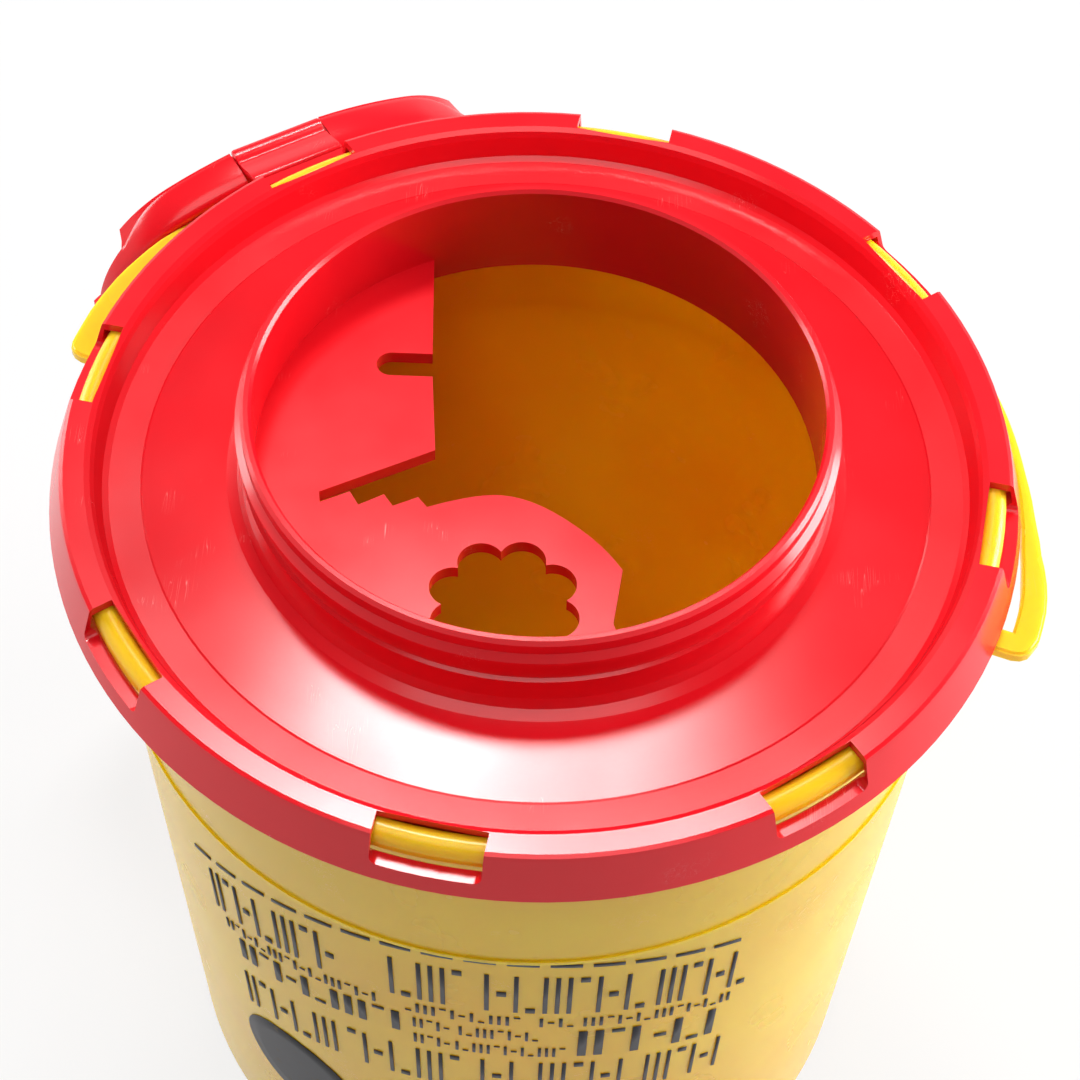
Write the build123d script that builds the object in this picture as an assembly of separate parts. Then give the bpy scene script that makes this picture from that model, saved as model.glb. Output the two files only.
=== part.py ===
from build123d import *
from math import cos, sin, radians, degrees, atan2, hypot
import os

# Sharps container: yellow tub, red snapped-on lid with a collar and a needle plate,
# hinged cap and bail. Millimetres, +Z up, base centre at the origin.

# Tub
rim_z = 118.0               # height of the lid's crown above the base
wall = 1.2
wall_r_top = 52.8           # outer radius the taper would reach at the crown
taper = 0.0315              # radius lost per mm of depth
neck_depth = 8.0            # below this depth the wall is plain
base_thick = 1.6
foot_edge = 1.4             # bevel round the foot
inner_edge = 2.2            # bevel inside, where wall and base meet
bead_r = 1.5                # rolled bead round the mouth
bead_center_r = 53.9
bead_drop = 1.1             # crown to the top of the bead
level_depth = 31.0          # raised level line
level_high = 0.6
level_proud = 0.25

# Bail and the two lugs it hangs from
bail_az = 70.4              # direction in which the bail bulges
bail_in_r = 58.5
bail_wide = 2.3
bail_thick = 1.8
bail_shift = 0.5            # the moulded ring sits a little to one side
bail_axis_back = 1.6        # hinge line behind the centre line of the tub
bail_depth = 7.9            # crown to the middle of the bail's hinge
bail_droop = 5.0
bail_corner_out = 1.3
bail_corner_run = 9.0
bail_leg_wide = 3.2
bail_leg_in = 56.6
bail_corner_fillet = 2.2
lug_gap = 0.3
lug_thick = 2.4

# Lid
lid_wall = 1.1
crown_in_r = 53.0
crown_out_r = 55.4
crown_round = 0.6
skirt_top_r = 56.0
skirt_low_r = 57.74
skirt_depth = 6.1
snap_in_r = 55.05
snap_depth = 4.9
groove_r = 51.2
plate_depth = 4.0
ring_r = 46.9               # faint ring on the plate
ring_depth = 4.25
plate_thick = 1.2
collar_in_r = 33.1
collar_low_in_r = 33.5
collar_wall = 1.3
collar_high = 8.1
collar_foot = 1.9
collar_bead_proud = 0.75
collar_bead_z = 5.2
collar_step_z = 1.4
collar_step_proud = 0.45

# Windows in the rim of the lid
window_count = 8
window_first_az = 34.5
window_span = 12.2
window_in_r = 52.75
window_depth = 4.1
window_fillet = 0.8

# Needle plate inside the collar
needle_top = -2.0
needle_thick = 1.8
edge_x_top = -13.8
edge_y_top = 30.4
edge_x_slot = -13.2
slot_width = 3.6
slot_y = 13.0
slot_tip_x = -19.9
edge_x_low = -12.1
wedge_top_y = -0.2
wedge_tip = (-25.3, -7.0)
wedge_low_tip = (-25.1, -8.5)
tooth_count = 3
tooth_pitch = 4.0
tooth_high = 1.7
lobe_top = (-4.0, -6.6)
lobe_side = (4.2, -10.3)
lobe_corner = (10.2, -16.8)
lobe_foot = (9.2, -24.3)
flower_center = (-3.2, -21.9)
flower_lobes = 8
flower_cusp_r = 6.9
flower_lobe_r = 2.75
flower_first_az = 27.0

# Cap on its double living hinge
cap_az = 122.3              # direction from the lid's axis to the hinge
cap_clear = 0.35
cap_plate = 1.2
cap_lift = 0.3              # underside of the closed flange above the crown
cap_end_r = 58.4
cap_end_half = 29.5
cap_end_fillet = 17.0
cap_skirt_depth = 2.4       # skirt below the flange
cap_skirt_wall = 1.0
cap_hat_wall = 1.2
cap_hat_top_gap = 0.5
cap_snap_proud = 0.35
cap_rest_turn = 264.0       # from closed to the hanging pose

strap_root_r = 57.75
strap_root_depth = 3.1
strap_long = 4.0
strap_wide = 12.5
strap_thick = 0.8
strap_gap = 0.3
strap_side = 2.0            # offset of the strap from the cap's centre line
strap_rest_turn = 108.2
tab_hold = 0.8              # length of the tab's ends inside the lid's skirt

collar_out_r = collar_in_r + collar_wall
hat_in_r = collar_out_r + collar_bead_proud + cap_clear
hat_out_r = hat_in_r + cap_hat_wall
hat_top = collar_high + cap_hat_top_gap + cap_plate


def wall_r(depth):
    return wall_r_top - taper * depth


def revolved(points):
    """Solid of revolution from (radius, depth-or-height) points, z given from the crown."""
    line = Polyline(*[(r, 0, z + rim_z) for r, z in points], close=True)
    return revolve(make_face(line), Axis.Z, 360)


def tub_shell():
    floor_z = -rim_z
    low_out = wall_r(rim_z)
    neck_out = wall_r(neck_depth)
    neck_in = neck_out - wall
    bead_mid = -bead_drop - bead_r
    bead_in = bead_center_r - bead_r
    bead_out = bead_center_r + bead_r
    start = (bead_in, 0, bead_mid + rim_z)
    crest = (bead_center_r, 0, -bead_drop + rim_z)
    end = (bead_out, 0, bead_mid + rim_z)
    rolled = ThreePointArc(start, crest, end)
    outline = [
        (bead_out, bead_mid - 0.8),
        (wall_r(5) + 0.7, -5.2),
        (neck_out, -neck_depth),
        (low_out, floor_z + foot_edge),
        (low_out - foot_edge, floor_z),
        (0, floor_z),
        (0, floor_z + base_thick),
        (low_out - wall - inner_edge, floor_z + base_thick),
        (low_out - wall, floor_z + base_thick + inner_edge),
        (neck_in, -neck_depth),
        (bead_in, bead_mid - 0.9),
    ]
    sides = Polyline(end, *[(r, 0, z + rim_z) for r, z in outline], start)
    shell = revolve(make_face(rolled + sides), Axis.Z, 360)
    line_r = wall_r(level_depth)
    level_line = revolved([
        (line_r - wall / 2, -level_depth),
        (line_r + level_proud, -level_depth),
        (line_r + level_proud, -level_depth - level_high),
        (line_r - wall / 2, -level_depth - level_high),
    ])
    return shell + level_line


def bail_frame(droop):
    """Location of the bail: origin on its hinge line, X along that line, Y to its bulge."""
    a = radians(bail_az)
    back = (-bail_axis_back * cos(a), -bail_axis_back * sin(a), rim_z - bail_depth)
    return Location(back) * Location((0, 0, 0), (0, 0, bail_az - 90)) * Location((0, 0, 0), (-droop, 0, 0))


def lugs():
    inner = wall_r(bail_depth) - wall / 2
    long = bail_leg_in - lug_gap - inner
    low = bail_frame(0)
    pair = []
    for side in (1, -1):
        post = Box(long, bail_leg_wide, lug_thick)
        post = chamfer(post.edges().filter_by(Axis.Y).sort_by(Axis.Z)[:2], 0.5)
        pair.append(low * Pos(side * (inner + long / 2), 0, 0) * post)
    return pair


def container_body():
    body = tub_shell()
    for lug in lugs():
        body = body + lug
    return body


def bail_handle():
    out_r = bail_in_r + bail_wide
    center = Pos(-bail_shift, bail_axis_back)
    half = Pos(0, out_r) * Rectangle(4 * out_r, 2 * out_r)
    arc = (center * Circle(out_r) - center * Circle(bail_in_r)) & Pos(0, bail_axis_back) * half
    ends = Sketch()
    for side in (1, -1):
        top_y = bail_axis_back + bail_corner_run
        outer = side * out_r - bail_shift
        inner = side * bail_in_r - bail_shift
        bulge = side * (out_r + bail_corner_out) - bail_shift
        leg = Polyline(
            (inner + side * 0.2, top_y),
            (inner, bail_leg_wide / 2),
            (side * bail_leg_in, bail_leg_wide / 2),
            (side * bail_leg_in, -bail_leg_wide / 2),
            (bulge, -bail_leg_wide / 2),
            (bulge, bail_leg_wide / 2),
            (outer - side * 0.6, top_y),
            close=True,
        )
        ends += make_face(leg)
    outline = arc + ends
    corner = outline.vertices().sort_by(lambda v: v.Y)[:4]
    corner = [v for v in corner if abs(v.X) > bail_leg_in + 2]
    outline = fillet(corner, bail_corner_fillet)
    strip = extrude(outline, bail_thick / 2, both=True)
    strip = fillet(strip.edges().filter_by(Plane.XY), 0.35)
    return bail_frame(bail_droop) * strip


def lid_shell():
    top = collar_high
    out_r = collar_out_r
    low = -plate_depth - plate_thick
    bead_z = collar_bead_z
    step_r = out_r + collar_step_proud
    slope = (skirt_low_r - skirt_top_r) / (skirt_depth - crown_round)
    outline = [
        (collar_in_r + 0.35, top),
        (out_r - 0.4, top),
        (out_r, top - 0.5),
        (out_r, bead_z + 1.0),
        (out_r + collar_bead_proud, bead_z + 0.2),
        (out_r + collar_bead_proud, bead_z - 0.3),
        (out_r, bead_z - 1.1),
        (out_r, collar_step_z + 0.2),
        (step_r, collar_step_z),
        (step_r + 0.15, -plate_depth + collar_foot + 0.4),
        (step_r + 0.6, -plate_depth + 0.95),
        (step_r + collar_foot, -plate_depth + 0.45),
        (ring_r - 0.25, -ring_depth + 0.12),
        (ring_r, -ring_depth),
        (groove_r - 0.6, -plate_depth - 0.1),
        (groove_r + 0.1, -plate_depth + 0.35),
        (groove_r + 0.75, -1.1),
        (groove_r + 1.15, -0.35),
        (crown_in_r, 0),
        (crown_out_r, 0),
        (skirt_top_r - 0.15, -0.2),
        (skirt_top_r, -crown_round),
        (skirt_low_r, -skirt_depth),
        (skirt_low_r - lid_wall, -skirt_depth),
        (snap_in_r, -snap_depth),
        (snap_in_r + 0.1, -snap_depth + 0.3),
        (skirt_top_r - lid_wall + 0.95 + slope, -3.1),
        (skirt_top_r - lid_wall + 0.75, -lid_wall),
        (groove_r + lid_wall + 0.05, -lid_wall),
        (groove_r + 0.15, low),
        (ring_r, low - 0.2),
        (collar_low_in_r + collar_wall, low),
        (collar_low_in_r + collar_wall, low - 0.3),
        (collar_low_in_r, low - 0.3),
        (collar_in_r, top - 0.45),
    ]
    return revolved(outline)


def window_cuts():
    cuts = []
    block = Pos(window_in_r + 5, 0, -window_depth / 2 + 0.5 + rim_z) * Box(10, window_span, window_depth + 1)
    block = fillet(block.edges().filter_by(Axis.X), window_fillet)
    for i in range(window_count):
        cuts.append(Rot(0, 0, window_first_az + i * 360 / window_count) * block)
    return cuts


def saw_edge():
    """Points of the toothed lower side of the wedge, from its tip to the round lobe."""
    x0, y0 = wedge_low_tip
    points = [(x0, y0)]
    for i in range(tooth_count):
        x = x0 + 0.5 + i * tooth_pitch
        points.append((x + tooth_pitch * 0.72, y0 + tooth_high - 0.25 * i))
        points.append((x + tooth_pitch, y0 - 0.2))
    return points


def flower():
    x, y = flower_center
    hole = Pos(x, y) * Circle(flower_cusp_r)
    reach = flower_cusp_r - 0.75
    for i in range(flower_lobes):
        a = radians(flower_first_az + i * 360 / flower_lobes)
        hole += Pos(x + reach * cos(a), y + reach * sin(a)) * Circle(flower_lobe_r)
    return hole


def needle_plate():
    edge_r = collar_in_r + collar_wall / 2
    saw = saw_edge()
    last = saw[-1]
    side = Polyline(
        (edge_x_top, edge_y_top),
        (edge_x_slot, slot_y + slot_width / 2),
        (edge_x_slot + 0.2, slot_y - slot_width / 2),
        (edge_x_low, wedge_top_y),
        wedge_tip,
        *saw,
    )
    lobe = Spline(last, (-8.6, -7.3), lobe_top, lobe_side, (8.4, -14.3), lobe_corner)
    rim = Polyline(
        lobe_corner, lobe_foot, (11.6, -31.2), (0, -edge_r), (-edge_r, -edge_r),
        (-edge_r, edge_r), (edge_x_top, edge_r), (edge_x_top, edge_y_top),
    )
    sheet = make_face(side + lobe + rim) & Circle(edge_r)
    slot_r = slot_width / 2
    slot_long = edge_x_slot + 2 - (slot_tip_x + slot_r)
    slot = Pos(slot_tip_x + slot_r + slot_long / 2, slot_y) * Rectangle(slot_long, slot_width)
    slot += Pos(slot_tip_x + slot_r, slot_y) * Circle(slot_r)
    sheet = sheet - slot - flower()
    plate = extrude(Pos(0, 0, rim_z + needle_top - needle_thick) * sheet, needle_thick)
    return plate


def hinge_frame():
    """Origin on the lid's axis at crown height, X towards the cap's hinge."""
    return Location((0, 0, rim_z)) * Location((0, 0, 0), (0, 0, cap_az))


def root_tab():
    """Tab in one window of the lid that carries the strap, level with its crease."""
    inner = bead_center_r + bead_r + strap_gap
    outer = strap_root_r - strap_thick / 2 - strap_gap
    top = -strap_root_depth + strap_thick / 2
    low = -window_depth - 0.4
    tab = Box(outer - inner, window_span + 2 * tab_hold, top - low)
    return hinge_frame() * Pos((inner + outer) / 2, strap_side, (top + low) / 2) * tab


def lid():
    body = lid_shell()
    for cut in window_cuts():
        body = body - cut
    body = body + needle_plate()
    return body + root_tab()


def turned(shape, x, z, angle):
    """Turn a shape of the hinge frame about the tangent line through (x, z)."""
    return Pos(x, 0, z) * Rot(0, angle, 0) * Pos(-x, 0, -z) * shape


def strap_in_frame():
    """Strap in its closed pose, standing up from the root crease."""
    section = Plane.XZ * SlotCenterToCenter(strap_long, strap_thick, rotation=90)
    leaf = extrude(section, strap_wide / 2, both=True)
    return Pos(strap_root_r, strap_side, -strap_root_depth + strap_long / 2) * leaf


def strap():
    return hinge_frame() * turned(strap_in_frame(), strap_root_r, -strap_root_depth, strap_rest_turn)


def cap_outline(grow=0.0):
    """Flange: an end that follows the rim of the lid, and the round over the collar."""
    end_r = cap_end_r + grow
    half = cap_end_half + grow
    reach = hat_out_r + 1.6 + grow
    tongue = Circle(end_r) & Pos(end_r / 2 + 2, 0) * Rectangle(end_r - 4, 2 * half)
    corner = [v for v in tongue.vertices() if v.X > end_r / 2]
    tongue = fillet(corner, cap_end_fillet)
    return tongue + Circle(reach) + Pos(end_r / 4, 0) * Rectangle(end_r / 2, 2 * half)


def lid_clearance():
    """Space kept free over the rim of the lid, in the hinge frame."""
    g = cap_clear
    line = Polyline(
        (groove_r - 2.6, 0, -8), (groove_r - 2.6, 0, -0.9), (groove_r - 1.0, 0, cap_lift),
        (skirt_top_r + g, 0, cap_lift), (skirt_top_r + g + 0.3, 0, -0.6), (skirt_low_r + 0.1, 0, -8),
        close=True,
    )
    return revolve(make_face(line), Axis.Z, 360)


def cap_in_frame():
    flange_low = cap_lift
    outline = cap_outline()
    flange = extrude(Pos(0, 0, flange_low) * outline, cap_plate)
    inner = cap_outline(-cap_skirt_wall)
    skirt = extrude(Pos(0, 0, flange_low - cap_skirt_depth) * (outline - inner), cap_skirt_depth)
    skirt = skirt - lid_clearance()
    hat = extrude(Pos(0, 0, flange_low) * Circle(hat_out_r), hat_top - flange_low)
    hat = fillet(hat.edges().sort_by(Axis.Z)[-1:], 1.4)
    hollow = extrude(Pos(0, 0, -5) * Circle(hat_in_r), 5 + hat_top - cap_plate)
    snap_z = collar_bead_z - 2.3
    snap_out = hat_in_r + 0.2
    ridge_line = Polyline(
        (snap_out, 0, snap_z + 0.6), (hat_in_r - cap_snap_proud, 0, snap_z),
        (hat_in_r - cap_snap_proud, 0, snap_z - 0.3), (snap_out, 0, snap_z - 0.9), close=True,
    )
    ridge = revolve(make_face(ridge_line), Axis.Z, 360)
    body = flange + skirt + hat - hollow + ridge
    notch_in = strap_root_r - strap_thick / 2 - strap_gap
    notch_long = cap_end_r + 1 - notch_in
    notch = Box(notch_long, strap_wide + 2 * strap_gap, 4 * cap_skirt_depth)
    return body - Pos(notch_in + notch_long / 2, strap_side, flange_low) * notch


def closure_cap():
    crease_z = -strap_root_depth + strap_long
    turn_two = cap_rest_turn - strap_rest_turn
    body = turned(cap_in_frame(), strap_root_r, crease_z, turn_two)
    body = turned(body, strap_root_r, -strap_root_depth, strap_rest_turn)
    return hinge_frame() * body


parts = {
    "container_body": container_body,
    "bail_handle": bail_handle,
    "lid": lid,
    "hinge_strap": strap,
    "closure_cap": closure_cap,
}

os.makedirs("parts", exist_ok=True)
for name, make in parts.items():
    shape = make()
    solids = shape.solids()
    body = solids[0] if len(solids) == 1 else Compound(children=list(solids))
    body.label = name
    export_step(body, f"parts/{name}.step")
    print(name, len(solids), round(sum(s.volume for s in solids)), shape.is_valid)
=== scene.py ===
import math
import bmesh
import bpy
from mathutils import Matrix, Vector


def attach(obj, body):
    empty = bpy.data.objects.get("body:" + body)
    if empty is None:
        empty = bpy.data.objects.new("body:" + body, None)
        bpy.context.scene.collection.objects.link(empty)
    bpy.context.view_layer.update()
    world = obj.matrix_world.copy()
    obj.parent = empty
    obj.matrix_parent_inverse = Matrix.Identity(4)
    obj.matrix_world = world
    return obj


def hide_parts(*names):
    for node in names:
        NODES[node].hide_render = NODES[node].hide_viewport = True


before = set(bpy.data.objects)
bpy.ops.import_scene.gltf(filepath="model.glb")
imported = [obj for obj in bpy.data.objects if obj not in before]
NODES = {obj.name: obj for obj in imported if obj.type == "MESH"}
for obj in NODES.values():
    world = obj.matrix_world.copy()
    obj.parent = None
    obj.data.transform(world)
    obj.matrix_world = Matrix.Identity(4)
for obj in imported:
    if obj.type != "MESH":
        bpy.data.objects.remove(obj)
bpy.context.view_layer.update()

MM = 0.001

# Tub wall in metres, as in the part's source
RIM_Z = 0.118               # crown of the lid above the base
WALL_R_TOP = 0.0528         # wall radius if it ran up to the crown
TAPER = 0.0315              # radius lost per unit of depth below the crown

# Colours, linear
YELLOW = (0.90, 0.545, 0.018, 1)
YELLOW_DEEP = (0.83, 0.455, 0.010, 1)
RED = (0.82, 0.009, 0.018, 1)
RED_DEEP = (0.70, 0.005, 0.012, 1)
SCUFF = (0.95, 0.30, 0.27, 1)
INK = (0.012, 0.012, 0.018, 1)
INK_WORN = (0.10, 0.07, 0.03, 1)
FLOOR_GREY = (0.62, 0.62, 0.62, 1)
WHITE = (1, 1, 1, 1)


def wall_r(depth):
    """Outer radius of the tub at a depth below the crown."""
    return WALL_R_TOP - TAPER * depth


def polar(az, r, z):
    a = math.radians(az)
    return Vector((r * math.cos(a), r * math.sin(a), z))


# Camera, found from the rim and the collar in the photograph
CAM_DISTANCE = 0.29225      # from the crown's centre, in metres
CAM_ELEVATION = 0.88853     # above the horizon, in radians
CAM_PAN, CAM_TILT, CAM_ROLL = 0.00225, 0.0395, -0.03539
FOCAL_PX, PICTURE_PX, SENSOR_MM = 2482.2, 1080, 36.0
CLIP_NEAR = 0.01


def make_camera():
    across = CAM_DISTANCE * math.cos(CAM_ELEVATION)
    high = CAM_DISTANCE * math.sin(CAM_ELEVATION) + RIM_Z
    ahead = Vector((0, math.cos(CAM_ELEVATION), -math.sin(CAM_ELEVATION)))
    right = Vector((1, 0, 0))
    up = right.cross(ahead)
    base = Matrix((right, up, -ahead))
    turn = (Matrix.Rotation(CAM_ROLL, 3, "Z") @ Matrix.Rotation(CAM_PAN, 3, "Y")
            @ Matrix.Rotation(CAM_TILT, 3, "X"))
    data = bpy.data.cameras.new("photo_camera")
    data.sensor_width = SENSOR_MM
    data.lens = FOCAL_PX / PICTURE_PX * SENSOR_MM
    data.clip_start = CLIP_NEAR
    obj = bpy.data.objects.new("photo_camera", data)
    obj.matrix_world = Matrix.Translation((0, -across, high)) @ (turn @ base).transposed().to_4x4()
    bpy.context.scene.collection.objects.link(obj)
    bpy.context.scene.camera = obj


# Materials
FLOW_SCALE, SOFT_SCALE, GRAIN_SCALE = 28.0, 90.0, 2600.0
FLOW_LOW, FLOW_HIGH = 0.35, 0.7
SCRATCHES = ((0.6, 1500.0, 0.006), (2.1, 1300.0, 0.005))     # direction, fineness, width
SCRATCH_STRETCH = 0.03
SCRATCH_SPOT_SCALE, SPOT_LOW, SPOT_HIGH = 120.0, 0.64, 0.70
SCRATCH_ROUGH = 0.15
ROUGH_SPREAD = 0.10
GRAIN_HEIGHT, SOFT_HEIGHT = 0.10, 0.6
BUMP_STRENGTH, BUMP_DISTANCE = 0.2, 0.00005
PLASTIC_IOR = 1.49
INK_SCALE, INK_LOW, INK_HIGH = 700.0, 0.62, 0.75
INK_ROUGH, INK_ROUGH_SPREAD = 0.5, 0.2
FLOOR_WHITE_SHARE = 0.80


class Nodes:
    """Short calls for adding and linking the shader nodes of one material."""

    def __init__(self, name):
        self.material = bpy.data.materials.new(name)
        self.material.use_nodes = True
        self.tree = self.material.node_tree
        self.tree.nodes.clear()

    def add(self, kind, **inputs):
        node = self.tree.nodes.new(kind)
        for key, value in inputs.items():
            self.put(node, key.replace("_", " "), value)
        return node

    def put(self, node, key, value):
        socket = node.inputs[key]
        if isinstance(value, bpy.types.NodeSocket):
            self.tree.links.new(value, socket)
        else:
            socket.default_value = value

    def math(self, operation, *values):
        node = self.tree.nodes.new("ShaderNodeMath")
        node.operation = operation
        for i, value in enumerate(values):
            self.put(node, i, value)
        return node.outputs[0]

    def mix(self, factor, a, b):
        node = self.tree.nodes.new("ShaderNodeMix")
        node.data_type = "RGBA"
        for i, value in ((0, factor), (6, a), (7, b)):
            self.put(node, i, value)
        return node.outputs[2]

    def ramp(self, factor, low, high):
        """From 0 at low to 1 at high."""
        node = self.add("ShaderNodeMapRange", Value=factor, From_Min=low, From_Max=high)
        return node.outputs[0]

    def noise(self, vector, scale, detail):
        return self.add("ShaderNodeTexNoise", Vector=vector, Scale=scale, Detail=detail).outputs["Fac"]

    def place(self):
        return self.add("ShaderNodeTexCoord").outputs["Object"]

    def finish(self, shader):
        out = self.add("ShaderNodeOutputMaterial")
        self.tree.links.new(shader.outputs[0], out.inputs["Surface"])
        return self.material


def scratches(n, place, direction, fineness, width):
    """Mask of thin lines that run in one direction across the surface."""
    scale = (fineness, fineness * SCRATCH_STRETCH, fineness)
    turned = n.add("ShaderNodeMapping", Vector=place, Rotation=(0, 0, direction), Scale=scale)
    lines = n.noise(turned.outputs[0], 1.0, 1.0)
    return n.ramp(n.math("ABSOLUTE", n.math("SUBTRACT", lines, 0.5)), width, 0.0)


def plastic(name, light, deep, rough, specular, scratch, glow=0.0, glow_radius=(1.0, 0.2, 0.1)):
    """Moulded polypropylene with faint flow marks, grain and scratches; glow lets light through."""
    n = Nodes(name)
    place = n.place()
    flow = n.noise(place, FLOW_SCALE, 4.0)
    colour = n.mix(n.ramp(flow, FLOW_LOW, FLOW_HIGH), light, deep)
    lines = n.math("MAXIMUM", *(scratches(n, place, *one) for one in SCRATCHES))
    spots = n.ramp(n.noise(place, SCRATCH_SPOT_SCALE, 2.0), SPOT_LOW, SPOT_HIGH)
    lines = n.math("MULTIPLY", lines, spots)
    colour = n.mix(n.math("MULTIPLY", lines, scratch), colour, SCUFF)
    grain = n.noise(place, GRAIN_SCALE, 2.0)
    soft = n.noise(place, SOFT_SCALE, 3.0)
    rough_map = n.math("MULTIPLY_ADD", soft, ROUGH_SPREAD, rough - ROUGH_SPREAD / 2)
    rough_map = n.math("MULTIPLY_ADD", lines, SCRATCH_ROUGH, rough_map)
    height = n.math("MULTIPLY_ADD", grain, GRAIN_HEIGHT, n.math("MULTIPLY", soft, SOFT_HEIGHT))
    bump = n.add("ShaderNodeBump", Height=height, Strength=BUMP_STRENGTH, Distance=BUMP_DISTANCE)
    shader = n.add("ShaderNodeBsdfPrincipled", Base_Color=colour, Roughness=rough_map,
                   Normal=bump.outputs[0], IOR=PLASTIC_IOR, Specular_IOR_Level=specular,
                   Subsurface_Weight=glow, Subsurface_Radius=glow_radius, Subsurface_Scale=MM)
    shader.subsurface_method = "RANDOM_WALK"
    return n.finish(shader)


def ink(name):
    n = Nodes(name)
    worn = n.ramp(n.noise(n.place(), INK_SCALE, 4.0), INK_LOW, INK_HIGH)
    shader = n.add("ShaderNodeBsdfPrincipled", Base_Color=n.mix(worn, INK, INK_WORN),
                   Roughness=n.math("MULTIPLY_ADD", worn, INK_ROUGH_SPREAD, INK_ROUGH))
    return n.finish(shader)


def floor_material():
    """Pale floor that shows white to the camera and keeps a shadow."""
    n = Nodes("floor_white")
    rays = n.add("ShaderNodeLightPath").outputs
    mirrored = n.math("MAXIMUM", rays["Is Glossy Ray"], rays["Is Transmission Ray"])
    seen = n.math("MAXIMUM", rays["Is Camera Ray"], mirrored)
    plain = n.add("ShaderNodeBsdfDiffuse", Color=FLOOR_GREY)
    bright = n.add("ShaderNodeEmission", Color=WHITE, Strength=1.0)
    mix = n.tree.nodes.new("ShaderNodeMixShader")
    for i, value in enumerate((n.math("MULTIPLY", seen, FLOOR_WHITE_SHARE), plain.outputs[0], bright.outputs[0])):
        n.put(mix, i, value)
    return n.finish(mix)


# Pieces
CAD_SMOOTH, CAP_SMOOTH, BAIL_SMOOTH, PRINT_SMOOTH = 28, 60, 40, 35     # degrees


def smooth(mesh, degrees):
    mesh.shade_smooth()
    mesh.set_sharp_from_angle(angle=math.radians(degrees))


def dress(node, material):
    mesh = NODES[node].data
    mesh.materials.clear()
    mesh.materials.append(material)
    smooth(mesh, CAD_SMOOTH)


def add_piece(name, bm, material, body, degrees):
    """Finish a bmesh as a smooth-shaded piece that rides on a body."""
    bmesh.ops.recalc_face_normals(bm, faces=bm.faces)
    mesh = bpy.data.meshes.new(name)
    bm.to_mesh(mesh)
    bm.free()
    obj = bpy.data.objects.new(name, mesh)
    bpy.context.scene.collection.objects.link(obj)
    mesh.materials.append(material)
    smooth(mesh, degrees)
    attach(obj, body)
    return obj


def sweep(bm, rings):
    """Closed solid through a row of like rings of points."""
    loops = [[bm.verts.new(p) for p in ring] for ring in rings]
    for one, two in zip(loops, loops[1:]):
        wall(bm, one, two)
    bm.faces.new(loops[0][::-1])
    bm.faces.new(loops[-1])


def wall(bm, one, two):
    """Faces between two like loops of vertices."""
    count = len(one)
    for i in range(count):
        k = (i + 1) % count
        bm.faces.new((one[i], one[k], two[k], two[i]))


# Cap: a rounded band along its outer edge, and the strap that runs on into it. In mm, in the
# hinge frame of the closed cap: x from the lid's axis, z from the crown.
CAP_AZ = 122.3                                  # from the lid's axis to the hinge
CREASE_R, CREASE_LOW, CREASE_HIGH = 57.75, -3.1, 0.9
STRAP_TURN, CAP_TURN = 108.2, 155.8             # from closed to rest
STRAP_SIDE, STRAP_HALF = 2.0, 6.35
BAND_R, BAND_HALF, BAND_CORNER = 58.4, 29.5, 17.0
BAND_GAP = 0.2                                  # between the strap's side and the band
BAND_STEPS = 12
BAND_RUN = 9.0                                  # straight run along the side, up to the hat
BAND_BASE = 1.5                                 # top of the flange, where the band's bead starts
BAND_SECTION = [                                # outwards, and z
    (-0.62, -2.12), (-0.45, -2.14), (-0.12, -2.02), (0.04, -1.7), (0.10, -1.1),
    (0.14, -0.2), (0.14, 0.8), (0.08, 1.7), (-0.08, 2.5), (-0.35, 3.0),
    (-0.75, 3.3), (-1.15, 3.3), (-1.35, 3.0), (-1.38, 1.4), (-1.02, 1.4),
]
LIP_TOP = 0.3                                   # underside of the flange
LIP_START_R, LIP_FULL = 56.7, 1.7               # the lip fades out where the band leaves the rim
LEAF_IN, LEAF_OUT, LEAF_END = 0.4, 0.5, 0.44    # half thicknesses of the strap
LEAF_LIP = [(57.55, -2.1), (58.1, -2.12), (58.36, -1.95), (58.48, -1.5),
            (58.46, -0.55), (58.18, -0.18), (58.02, 0.1), (58.3, 0.6)]
LEAF_INNER = [(57.3, 0.6), (57.45, 0.2)]
LEAF_ENDS = ((-1.0, 0.955), (-0.985, 0.9856), (-0.96, 1.0),
             (0.96, 1.0), (0.985, 0.9856), (1.0, 0.955))      # share of the half width, and size there


def turn_about(p, x, z, angle):
    a = math.radians(angle)
    dx, dz = p.x - x, p.z - z
    return Vector((x + dx * math.cos(a) + dz * math.sin(a), p.y,
                   z - dx * math.sin(a) + dz * math.cos(a)))


def cap_at_rest(x, y, z):
    """Point of the closed cap moved to where the cap hangs, in metres."""
    p = turn_about(Vector((x, y, z)), CREASE_R, CREASE_HIGH, CAP_TURN)
    p = turn_about(p, CREASE_R, CREASE_LOW, STRAP_TURN)
    p = Matrix.Rotation(math.radians(CAP_AZ), 3, "Z") @ p
    return Vector((p.x * MM, p.y * MM, p.z * MM + RIM_Z))


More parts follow.
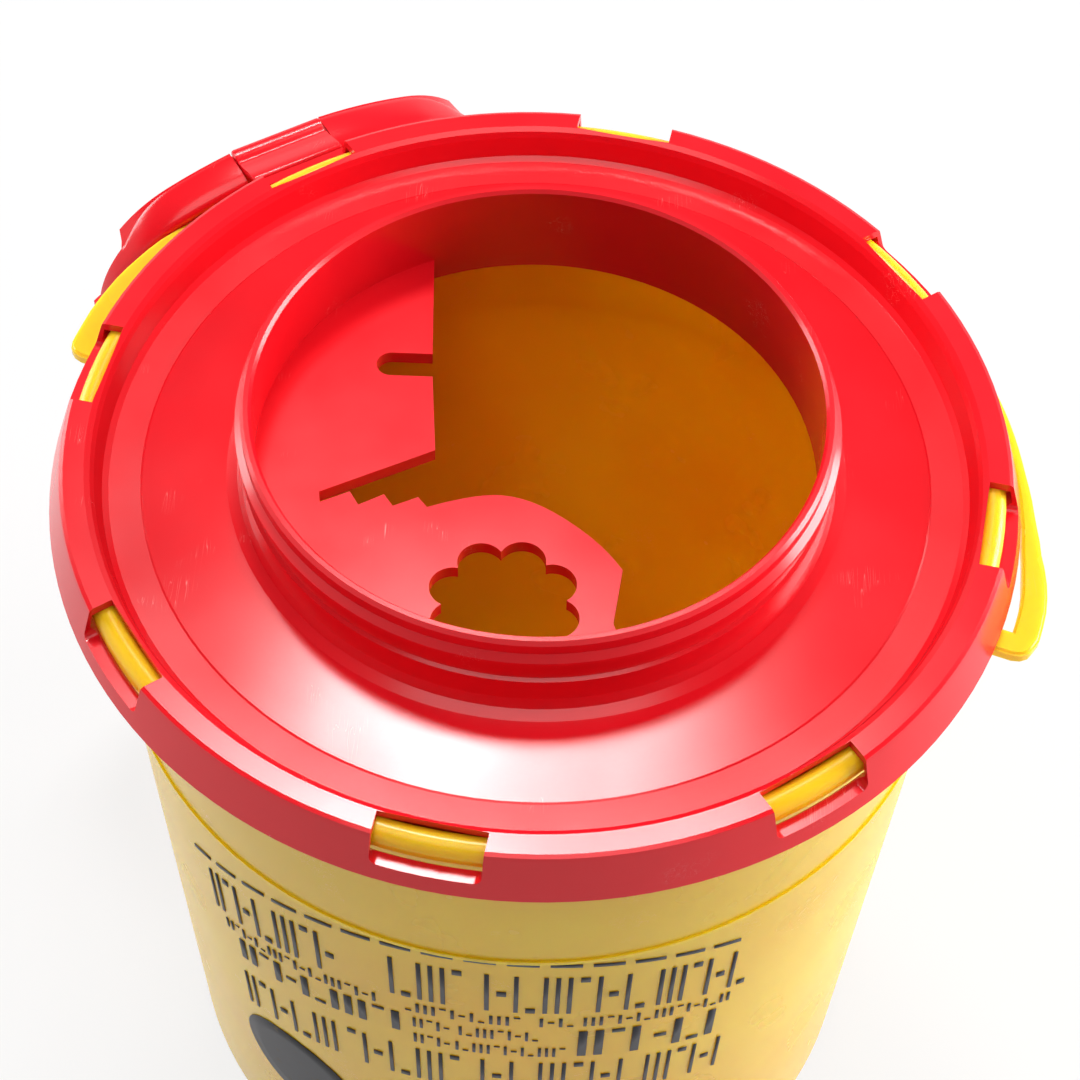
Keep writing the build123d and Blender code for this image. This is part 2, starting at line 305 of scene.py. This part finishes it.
def band_path(side):
    """Points, outward directions and bead height from the strap round to the cap's side."""
    start = STRAP_SIDE + side * (STRAP_HALF + BAND_GAP)
    first = math.degrees(math.asin(start / BAND_R))
    corner_y = BAND_HALF - BAND_CORNER
    corner_x = math.sqrt((BAND_R - BAND_CORNER) ** 2 - corner_y ** 2)
    bend = math.degrees(math.atan2(corner_y, corner_x))
    path = []
    for i in range(BAND_STEPS + 1):
        out = polar(first + (side * bend - first) * i / BAND_STEPS, 1, 0)
        path.append((out * BAND_R, out, 1.0))
    for i in range(1, 2 * BAND_STEPS + 1):
        out = polar(side * (bend + (90 - bend) * i / (2 * BAND_STEPS)), 1, 0)
        path.append((Vector((corner_x, side * corner_y, 0)) + out * BAND_CORNER, out, 1.0))
    for i in range(1, BAND_STEPS + 1):
        place = Vector((corner_x - BAND_RUN * i / BAND_STEPS, side * BAND_HALF, 0))
        path.append((place, Vector((0, side, 0)), 1.0 - i / BAND_STEPS))
    return path


def cap_band(side):
    bm = bmesh.new()
    rings = []
    for place, out, bead in band_path(side):
        lip = min(1.0, max(0.0, (place.length - LIP_START_R) / LIP_FULL))
        ring = []
        for off, z in BAND_SECTION:
            if z >= BAND_BASE:
                z = BAND_BASE + (z - BAND_BASE) * bead
            elif z < LIP_TOP:
                z = LIP_TOP + (z - LIP_TOP) * lip
            p = place + out * off
            ring.append(cap_at_rest(p.x, p.y, z))
        rings.append(ring)
    sweep(bm, rings)
    return bm


def strap_section():
    """Outline of strap and lip in the closed cap's frame, as they stand at rest."""
    lean = math.radians(180 - CAP_TURN)
    along = Vector((math.sin(lean), 0, math.cos(lean)))
    across = Vector((math.cos(lean), 0, -math.sin(lean)))
    crease = Vector((CREASE_R, 0, CREASE_HIGH))
    root = crease + along * (CREASE_HIGH - CREASE_LOW)
    points = [Vector((x, 0, z)) for x, z in LEAF_LIP]
    points += [crease + across * LEAF_OUT + along * t for t in (0.6, 1.6, 2.6)]
    for i in range(5):
        a = math.pi * i / 4
        points.append(root + (across * math.cos(a) + along * math.sin(a)) * LEAF_END)
    points += [crease - across * LEAF_IN + along * t for t in (2.0, 0.4)]
    return points + [Vector((x, 0, z)) for x, z in LEAF_INNER]


def strap_leaf():
    bm = bmesh.new()
    section = strap_section()
    middle = sum(section, Vector()) / len(section)
    rings = []
    for share, size in LEAF_ENDS:
        y = STRAP_SIDE + STRAP_HALF * share
        ring = [middle + (p - middle) * size for p in section]
        rings.append([cap_at_rest(p.x, y, p.z) for p in ring])
    sweep(bm, rings)
    return bm


# Bail: a flat strip under the lid's rim, wide at its left end and bent out at its right end.
# In mm; azimuths in degrees from the x axis.
BAIL_AZ = 70.4                                  # middle of the bail
BAIL_Z, BAIL_THICK = 110.1, 1.8
BAIL_BACK, BAIL_DROOP = 1.6, 3.0                # it droops by this many degrees from just in front of its pins
BAIL_STEPS = 90
BAIL_ROUND, BAIL_ROUND_PARTS = 0.35 * MM, 3
BAIL_SHARP = 1.0                                # radians, edges above this are rounded
BAIL_FLAT = 0.9 * MM                            # but not the upright ones
BAIL_OUTER = [(-19.6, 62.1), (-15, 62.0), (-11.6, 61.5), (-7, 60.5), (-2, 59.9), (5, 59.6),
              (20, 59.9), (70, 60.5), (110, 60.3), (123, 60.6), (130, 61.5), (136, 62.3),
              (143, 62.8), (149, 62.7), (155, 62.3), (160.4, 61.7)]
BAIL_INNER = [(-19.6, 58.9), (-15, 58.9), (-11, 58.5), (-7, 58.2), (160.4, 58.2)]
BAIL_LEG = [(56.6, -3.2), (59.7, -3.2), (60.7, -2.9), (61.4, -2.3), (61.75, -1.3)]
BAIL_LEG_IN = 56.6
BAIL_LEFT_IN = 0.2                              # the left leg stands this much further in


def along_table(table, az):
    for (a0, r0), (a1, r1) in zip(table, table[1:]):
        if az <= a1:
            t = (az - a0) / (a1 - a0)
            eased = t * t * (3 - 2 * t)
            return r0 + (r1 - r0) * (t + eased) / 2
    return table[-1][1]


def bail_outline():
    """Points of the bail from above, along the line of its pins and across it."""
    outer, inner = [], []
    for i in range(BAIL_STEPS + 1):
        turn = 180 * i / BAIL_STEPS
        for table, points in ((BAIL_OUTER, outer), (BAIL_INNER, inner)):
            points.append(polar(turn, along_table(table, BAIL_AZ - 90 + turn), 0).xy)
    left = [(-u + BAIL_LEFT_IN, v) for u, v in BAIL_LEG[:0:-1]]
    left += [(-BAIL_LEG_IN, BAIL_LEG[0][1]), (-BAIL_LEG_IN, 0)]
    return BAIL_LEG + outer + left + inner[::-1] + [(BAIL_LEG_IN, 0)]


def bail_ring():
    turn = Matrix.Rotation(math.radians(BAIL_AZ - 90), 3, "Z")
    slope = math.tan(math.radians(BAIL_DROOP))
    bm = bmesh.new()
    rings = []
    for level in (-0.5, 0.5):
        ring = []
        for u, v in bail_outline():
            p = turn @ Vector((u, v, 0))
            z = BAIL_Z + level * BAIL_THICK - slope * max(v + BAIL_BACK, 0)
            ring.append((p.x * MM, p.y * MM, z * MM))
        rings.append(ring)
    sweep(bm, rings)
    bmesh.ops.remove_doubles(bm, verts=bm.verts, dist=1e-6)
    bmesh.ops.recalc_face_normals(bm, faces=bm.faces)
    edges = [e for e in bm.edges if len(e.link_faces) == 2 and e.calc_face_angle() > BAIL_SHARP
             and abs(e.verts[0].co.z - e.verts[1].co.z) < BAIL_FLAT]
    bmesh.ops.bevel(bm, geom=edges, offset=BAIL_ROUND, segments=BAIL_ROUND_PARTS, affect="EDGES",
                    clamp_overlap=True)
    return bm


# Print: strokes and bars in place of words, a plain disc, and a dashed fill line.
# Azimuths in degrees, strokes and pitches in mm, depths below the crown in metres.
PRINT_MID_AZ = -95.0
PRINT_SAG = 0.0046e-3                           # the rows lie lower at the sides
INK_PROUD, INK_THICK = 0.00005, 0.00008
DEG_PER_MM = 1.11
PATCH_STEP = 1.6
DASH_FROM, DASH_TO, DASH_LONG, DASH_PITCH = -142.0, -58.5, 4.2, 5.6
DASH_ROW, DASH_HIGH = 0.0316, 0.0007
STROKE_PATTERN = ((0.0, 1.0), (0.0, 1.0), (0.0, 0.12), (0.0, 1.0),
                  (0.45, 0.12), (0.0, 1.0), (0.88, 0.12), (0.0, 1.0))     # top and height in shares of the row
BAR_WIDE = 0.8                                  # short bars, in shares of the pitch
WORD_ROWS = [                                   # spans, row, height, stroke, pitch
    (((-139.0, -115.5), (-107.5, -98.0), (-94.5, -80.5), (-79.5, -72.5), (-71.0, -58.0)),
     0.0352, 0.0098, 0.55, 1.45),
    (((-137.0, -110.0), (-105.5, -89.5), (-87.0, -83.0), (-81.0, -59.5)), 0.0466, 0.0023, 0.42, 1.0),
    (((-134.5, -106.5),), 0.0502, 0.0052, 1.05, 2.0),
    (((-104.5, -99.5), (-98.0, -87.5)), 0.0508, 0.0024, 0.38, 0.9),
    (((-104.5, -100.0), (-98.5, -84.0)), 0.0554, 0.0024, 0.38, 0.9),
    (((-81.5, -73.0), (-70.5, -60.5)), 0.0505, 0.0072, 1.1, 2.1),
    (((-135.0, -117.0), (-115.0, -97.0), (-95.0, -58.5)), 0.0600, 0.0090, 0.5, 1.5),
]
DISC_AZ, DISC_DEPTH, DISC_R = -126.0, 0.0868, 0.0100
DISC_RINGS, DISC_POINTS = 4, 48


def on_wall(bm, az, depth):
    return bm.verts.new(polar(az, wall_r(depth) + INK_PROUD, RIM_Z - depth))


def print_patch(bm, az0, az1, row, high):
    """One thin inked patch on the wall, from az0 to az1 and from row down to row + high."""
    steps = max(1, math.ceil(abs(az1 - az0) / PATCH_STEP))
    grid = []
    for i in range(steps + 1):
        az = az0 + (az1 - az0) * i / steps
        depth = row + PRINT_SAG * (az - PRINT_MID_AZ) ** 2
        grid.append((on_wall(bm, az, depth), on_wall(bm, az, depth + high)))
    for one, two in zip(grid, grid[1:]):
        bm.faces.new((one[0], one[1], two[1], two[0]))


def stroke_words(bm, words, row, high, stroke, pitch):
    """Upright strokes and short bars that fill each word's span."""
    count = 0
    for start, end in words:
        az = start
        while az < end:
            top, tall = STROKE_PATTERN[count % len(STROKE_PATTERN)]
            wide = stroke if tall == 1.0 else pitch * BAR_WIDE
            print_patch(bm, az, az + wide * DEG_PER_MM, row + high * top, high * tall)
            az += (wide + (pitch - stroke)) * DEG_PER_MM
            count += 1


def print_disc(bm):
    """Plain round inked patch, in rings so that it follows the wall."""
    centre = on_wall(bm, DISC_AZ, DISC_DEPTH)
    inner = None
    for k in range(1, DISC_RINGS + 1):
        r = DISC_R * k / DISC_RINGS
        outer = []
        for i in range(DISC_POINTS):
            a = i * math.tau / DISC_POINTS
            az = DISC_AZ + r * math.cos(a) / MM * DEG_PER_MM
            outer.append(on_wall(bm, az, DISC_DEPTH + r * math.sin(a)))
        if inner:
            wall(bm, inner, outer)
        else:
            for one, two in zip(outer, outer[1:] + outer[:1]):
                bm.faces.new((centre, one, two))
        inner = outer


def print_rows():
    bm = bmesh.new()
    az = DASH_FROM
    while az < DASH_TO:
        print_patch(bm, az, az + DASH_LONG, DASH_ROW, DASH_HIGH)
        az += DASH_PITCH
    for words in WORD_ROWS:
        stroke_words(bm, *words)
    print_disc(bm)
    return bm


# Stage
FLOOR_SIZE = 6.0
HORIZON_TOP, DOME_DARK = 0.35, 0.62     # sine of the elevation where the backdrop ends and the dark dome starts
DOME_GREY = 0.10
WORLD_FILL = 0.17
LAMPS = [                               # name, place, target, size, watts
    ("back_panel_left", (-0.10, 0.55, 1.3), (0, -0.03, 0.118), (0.22, 0.24), 8.0),
    ("back_panel_right", (0.10, 0.55, 1.3), (0, -0.03, 0.118), (0.10, 0.24), 3.0),
    ("right_panel", (0.8, 0.20, 0.30), (0, 0, 0.08), (0.5, 0.5), 11.0),
    ("left_panel", (-0.8, 0.45, 0.30), (0, 0, 0.08), (0.5, 0.5), 5.5),
    ("top_panel", (0.0, -0.25, 1.2), (0, 0, 0.1), (0.8, 0.8), 5.4),
]


def add_floor():
    bpy.ops.mesh.primitive_plane_add(size=FLOOR_SIZE, location=(0, 0, 0))
    floor = bpy.context.active_object
    floor.name = "floor"
    floor.data.materials.append(floor_material())


def add_lamp(name, place, target, size, watts):
    data = bpy.data.lights.new(name, "AREA")
    data.shape = "RECTANGLE"
    data.size, data.size_y = size
    data.energy = watts
    obj = bpy.data.objects.new(name, data)
    obj.location = place
    aim = Vector(target) - Vector(place)
    obj.rotation_euler = aim.to_track_quat("-Z", "Y").to_euler()
    bpy.context.scene.collection.objects.link(obj)


def add_world():
    """White backdrop for the camera; for reflections it darkens overhead, as in a studio."""
    world = bpy.data.worlds.new("studio")
    bpy.context.scene.world = world
    world.use_nodes = True
    tree = world.node_tree
    tree.nodes.clear()
    rays = tree.nodes.new("ShaderNodeLightPath").outputs

    def choose(ray, otherwise, value):
        """The value for one kind of ray, and what is linked in for the others."""
        node = tree.nodes.new("ShaderNodeMix")
        node.data_type = "FLOAT"
        tree.links.new(rays[ray], node.inputs[0])
        tree.links.new(otherwise, node.inputs[2])
        node.inputs[3].default_value = value
        return node.outputs[0]

    place = tree.nodes.new("ShaderNodeTexCoord")
    split = tree.nodes.new("ShaderNodeSeparateXYZ")
    tree.links.new(place.outputs["Generated"], split.inputs[0])
    dome = tree.nodes.new("ShaderNodeMapRange")
    tree.links.new(split.outputs["Z"], dome.inputs["Value"])
    ends = (("From Min", HORIZON_TOP), ("From Max", DOME_DARK), ("To Min", 1.0), ("To Max", DOME_GREY))
    for key, value in ends:
        dome.inputs[key].default_value = value
    strength = choose("Is Diffuse Ray", dome.outputs[0], WORLD_FILL)
    strength = choose("Is Camera Ray", strength, 1.0)
    back = tree.nodes.new("ShaderNodeBackground")
    back.inputs["Color"].default_value = WHITE
    tree.links.new(strength, back.inputs["Strength"])
    out = tree.nodes.new("ShaderNodeOutputWorld")
    tree.links.new(back.outputs[0], out.inputs["Surface"])


make_camera()
red = plastic("red_polypropylene", RED, RED_DEEP, rough=0.20, specular=0.42,
              scratch=0.5)
yellow = plastic("yellow_polypropylene", YELLOW, YELLOW_DEEP, rough=0.26, specular=0.30,
                 scratch=0.3, glow=0.75, glow_radius=(4.0, 2.8, 0.35))
for node in ("lid", "hinge_strap", "closure_cap"):
    dress(node, red)
for node in ("container_body", "bail_handle"):
    dress(node, yellow)

marks = add_piece("print_rows", print_rows(), ink("print_ink"), "tub", PRINT_SMOOTH)
solid = marks.modifiers.new("thick", "SOLIDIFY")
solid.thickness = INK_THICK
solid.offset = 0

for side, name in ((-1, "cap_band_right"), (1, "cap_band_left")):
    band = add_piece(name, cap_band(side), red, "cap", CAP_SMOOTH)
leaf = add_piece("strap_leaf", strap_leaf(), red, "strap", CAP_SMOOTH)
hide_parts("hinge_strap")
ring = add_piece("bail_ring", bail_ring(), yellow, "bail", BAIL_SMOOTH)
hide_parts("bail_handle")

add_floor()
add_world()
for lamp in LAMPS:
    add_lamp(*lamp)

bpy.context.scene.view_settings.view_transform = "Standard"
